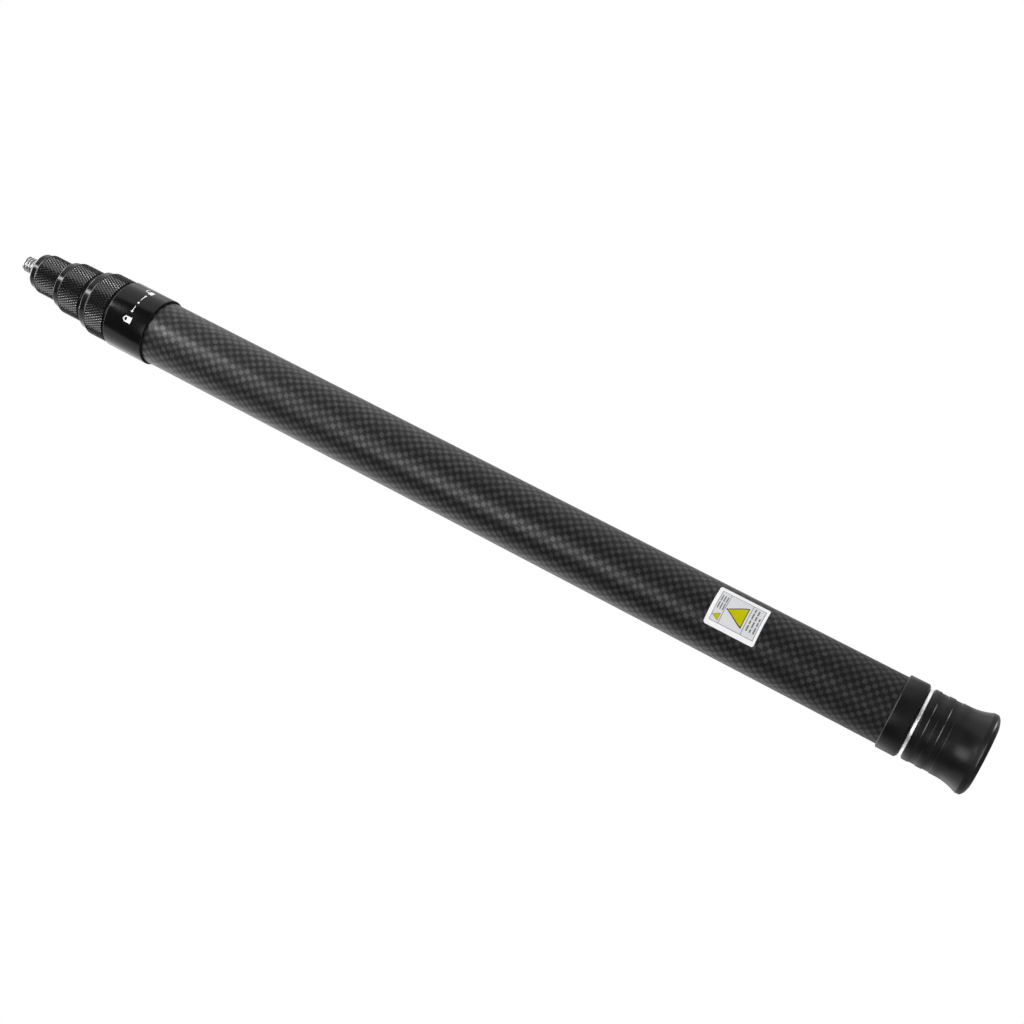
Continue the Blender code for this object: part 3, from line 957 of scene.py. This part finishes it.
def make_world():
    """White behind the object, and a dim surround that is brighter behind it than in front."""
    world = bpy.data.worlds.new("studio")
    world.use_nodes = True
    nodes, links = world.node_tree.nodes, world.node_tree.links
    nodes.clear()
    coordinates = nodes.new("ShaderNodeTexCoord")
    axes = nodes.new("ShaderNodeSeparateXYZ")
    links.new(coordinates.outputs["Generated"], axes.inputs[0])
    depth = nodes.new("ShaderNodeMapRange")
    depth.interpolation_type = "SMOOTHSTEP"
    depth.inputs["From Min"].default_value = -0.1
    depth.inputs["From Max"].default_value = 0.9
    depth.inputs["To Min"].default_value = 0.06
    depth.inputs["To Max"].default_value = 0.9
    links.new(axes.outputs["Y"], depth.inputs["Value"])
    surround = nodes.new("ShaderNodeBackground")
    surround.inputs["Color"].default_value = (1.0, 1.0, 1.0, 1.0)
    links.new(depth.outputs["Result"], surround.inputs["Strength"])
    backdrop = nodes.new("ShaderNodeBackground")
    backdrop.inputs["Color"].default_value = (1.0, 1.0, 1.0, 1.0)
    hide_from_camera(world.node_tree, surround, backdrop, nodes.new("ShaderNodeOutputWorld"))
    bpy.context.scene.world = world


def area_light(name, width, height, luminance):
    """A flat light of this size in metres, which the camera doesn't see."""
    light = bpy.data.lights.new(name, "AREA")
    light.shape = "RECTANGLE"
    light.size = width
    light.size_y = height
    light.energy = luminance * math.pi * width * height
    panel = bpy.data.objects.new(name, light)
    panel.visible_camera = False
    bpy.context.scene.collection.objects.link(panel)
    return panel


def make_panel_lights():
    """Soft panels that all face the middle of the pole."""
    middle = Vector((0, 0, AIM_HEIGHT * MM))
    for name, (bearing, elevation, distance, width, height, luminance) in PANEL_LIGHTS.items():
        turn, rise = math.radians(bearing), math.radians(elevation)
        away = Vector((math.sin(turn) * math.cos(rise), -math.cos(turn) * math.cos(rise), math.sin(rise)))
        panel = area_light(name, width, height, luminance)
        panel.location = middle + away * distance
        panel.rotation_euler = (-away).to_track_quat("-Z", "Y").to_euler()


def make_floor_lights(cap):
    """Glints for the cap's rim and grooves, which turn down and away from the other panels."""
    lit = bpy.data.collections.new("lit_from_floor")
    lit.objects.link(cap)
    for name, (bearing, distance, width, depth, luminance) in FLOOR_LIGHTS.items():
        panel = area_light(name, width * MM, depth * MM, luminance)
        panel.location = Vector(on_pole(bearing, distance, FLOOR_LIGHT_HEIGHT)) * MM
        panel.rotation_euler = (math.pi, 0, -math.radians(bearing))
        panel.light_linking.receiver_collection = lit


def make_floor():
    """A pale floor that looks white to the camera."""
    size = 6.0
    height = cad_box[0].z - FLOOR_DROP * MM
    corners = [(-size, -size, height), (size, -size, height), (size, size, height), (-size, size, height)]
    mesh = bpy.data.meshes.new("floor")
    mesh.from_pydata(corners, [], [(0, 1, 2, 3)])
    material = bpy.data.materials.new("pale_floor")
    material.use_nodes = True
    nodes = material.node_tree.nodes
    shader = nodes["Principled BSDF"]
    shader.inputs["Base Color"].default_value = (0.2, 0.2, 0.2, 1.0)
    shader.inputs["Roughness"].default_value = 0.9
    white = nodes.new("ShaderNodeEmission")
    hide_from_camera(material.node_tree, shader, white, nodes["Material Output"])
    mesh.materials.append(material)
    floor = bpy.data.objects.new("floor", mesh)
    bpy.context.scene.collection.objects.link(floor)


def make_camera():
    """A camera in front of the pole, looking up at it a little and rolled on its side."""
    data = bpy.data.cameras.new("camera")
    data.lens = LENS_MM
    data.sensor_width = 36.0
    data.clip_start = 0.01
    camera = bpy.data.objects.new("camera", data)
    pitch = math.radians(CAMERA_PITCH)
    roll = math.radians(CAMERA_ROLL)
    back = Vector((0, -math.cos(pitch), -math.sin(pitch)))
    along_pole = Vector((0, -math.sin(pitch), math.cos(pitch)))
    up = along_pole * math.sin(roll) + Vector((1, 0, 0)) * math.cos(roll)
    right = up.cross(back)
    aim = Vector((CAMERA_SHIFT, 0, AIM_HEIGHT)) * MM
    place_of_camera = aim + back * CAMERA_DISTANCE * MM
    rows = [(right[axis], up[axis], back[axis], place_of_camera[axis]) for axis in range(3)]
    camera.matrix_world = Matrix(rows + [(0, 0, 0, 1)])
    bpy.context.scene.collection.objects.link(camera)
    bpy.context.scene.camera = camera


def finish_cad_nodes(metal, plastic, soft):
    """Gives the CAD nodes that are carried over their finishes."""
    slots = {"plain_aluminium": metal, "pale_nylon": plastic, "black_rubber": soft}
    for entry in frame["record"]["subparts"]:
        finish = slots.get(entry["material_slot"])
        if finish is None:
            continue
        mesh = frame["nodes"][entry["node"]].data
        mesh.materials.clear()
        mesh.materials.append(finish)


def make_pole():
    """Every piece of the pole, with the finishes that they share."""
    black = anodised("black_anodised_ferrules", (0.003, 0.003, 0.0033), 0.17)
    grip = anodised("black_anodised_grips", (0.006, 0.006, 0.0064), 0.18)
    cap = anodised("black_anodised_cap", (0.002, 0.002, 0.0022), 0.30)
    metal = bare_metal("turned_aluminium", (0.62, 0.63, 0.65), 0.3)
    steel = bare_metal("stainless_thread", (0.62, 0.62, 0.63), 0.22, 0.05)
    soft = rubber()

    make_tube("main_tube", "main_section", MAIN_WALL)
    for section in COLLARS:
        make_tube(f"tube_{section}", f"section_{section}", INNER_WALL)
    make_ferrule("index_ferrule", True, (0.3, 0.4), (0.45, 0.3), 10.65, black)
    make_ferrule("butt_ferrule", False, (0.95, 0.75), (0.45, 0.4), 11.3, cap)
    make_trim_ring()
    make_floor_lights(make_end_cap(cap))
    make_foot_pad(soft)
    make_butt_plug(metal)
    make_stud(steel)
    for section in COLLARS:
        make_collar(section, grip)
    make_lock_marks(printed_film("white_marking_ink", (0.9, 0.9, 0.9), 0.4))
    make_label()
    finish_cad_nodes(metal, nylon(), soft)


bpy.context.scene.view_settings.view_transform = "Standard"
make_world()
make_panel_lights()
make_floor()
make_camera()
make_pole()
